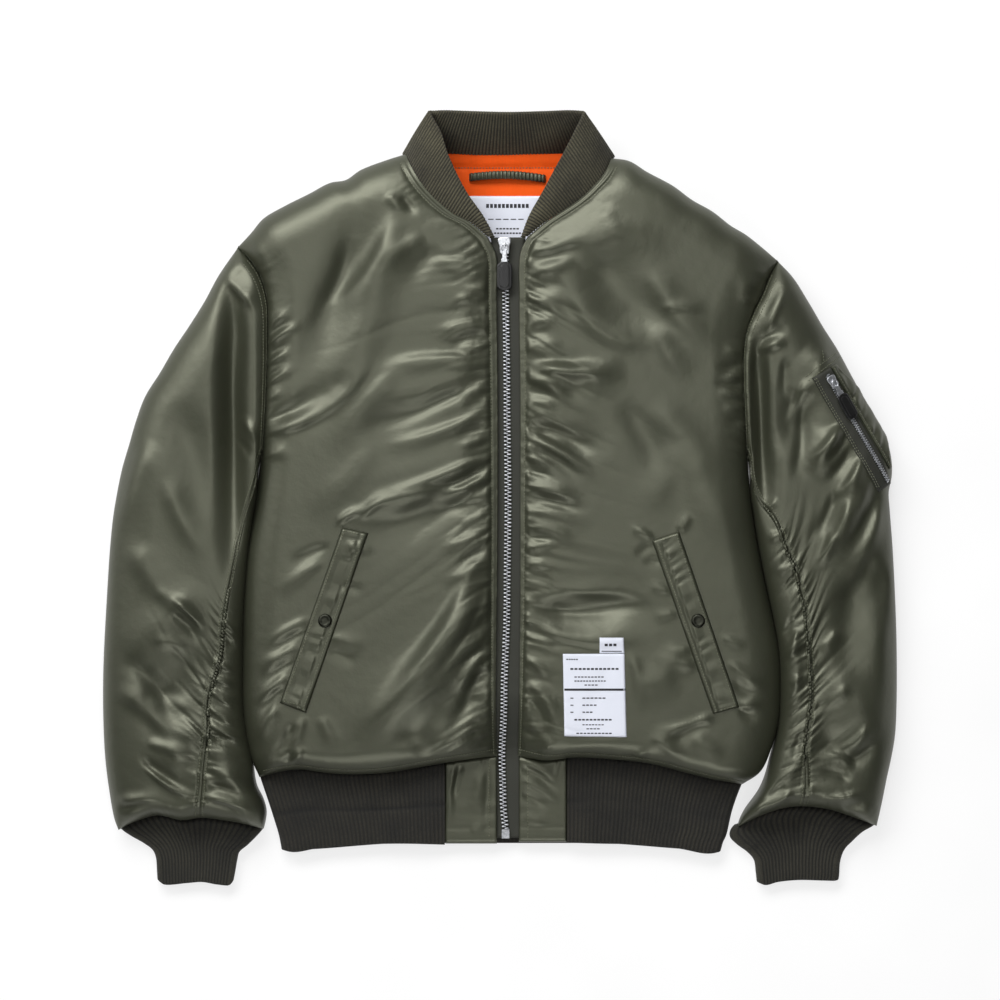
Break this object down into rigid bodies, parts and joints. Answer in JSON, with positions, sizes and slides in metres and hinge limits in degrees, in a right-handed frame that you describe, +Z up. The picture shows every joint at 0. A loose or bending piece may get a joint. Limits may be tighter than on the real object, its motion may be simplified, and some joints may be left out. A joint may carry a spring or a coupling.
{
  "type": "bomber jacket",
  "caption": "Padded bomber jacket laid flat on its back, zipped up, with rib-knit collar, cuffs and hem band, slanted welt pockets and a zipped sleeve pocket.",
  "frame": {"origin": "on the surface the jacket lies on, below the middle of its outline", "axes": "+X to the wearer's left, +Y towards the collar, +Z up off the surface, out of the jacket's front"},
  "size_m": [0.7984, 0.777, 0.055],
  "materials": {
    "shell": "olive nylon satin, wadded",
    "rib": "dark olive wool rib knit",
    "lining": "orange nylon lining",
    "tape": "woven cotton zip tape",
    "label": "white woven cotton",
    "steel": "nickel-plated, worn",
    "gunmetal": "dark plated metal",
    "leather": "black, smooth"
  },
  "bodies": {
    "jacket": {"back": "shell", "front_right": "shell", "front_left": "shell", "sleeve_right_outer": "shell", "sleeve_right_under": "shell", "sleeve_left_outer": "shell", "sleeve_left_under": "shell", "hem_facing_right": "shell", "hem_facing_left": "shell", "welt_right": "shell", "welt_left": "shell", "hanger_loop": "shell", "sleeve_pocket": "shell", "collar": "rib", "cuff_right": "rib", "cuff_left": "rib", "hem_rib": "rib", "neck_lining": "lining", "zip_tape_right": "tape", "zip_tape_left": "tape", "pocket_zip_tape": "tape", "front_label": "label", "front_label_tab": "label", "neck_label": "label", "zip_bottom_box": "steel", "zip_slider": "steel", "pocket_zip_chain": "steel", "pocket_slider": "steel", "zip_chain": "gunmetal", "snap_right": "gunmetal", "snap_left": "gunmetal"},
    "front_pull": {"zip_puller": "steel", "zip_tab": "leather"},
    "sleeve_pull": {"pocket_puller": "steel", "pocket_tab": "leather"}
  },
  "joints": [
    {"name": "front_pull_hinge", "type": "hinge", "parent": "jacket", "child": "front_pull", "pos_m": [0.00451, 0.254, 0.0386], "axis": [-1, 0, 0], "range_deg": [0, 170]},
    {"name": "sleeve_pull_hinge", "type": "hinge", "parent": "jacket", "child": "sleeve_pull", "pos_m": [0.33126, 0.11721, 0.05247], "axis": [-0.7845, -0.5342, 0.3149], "range_deg": [0, 170]}
  ]
}
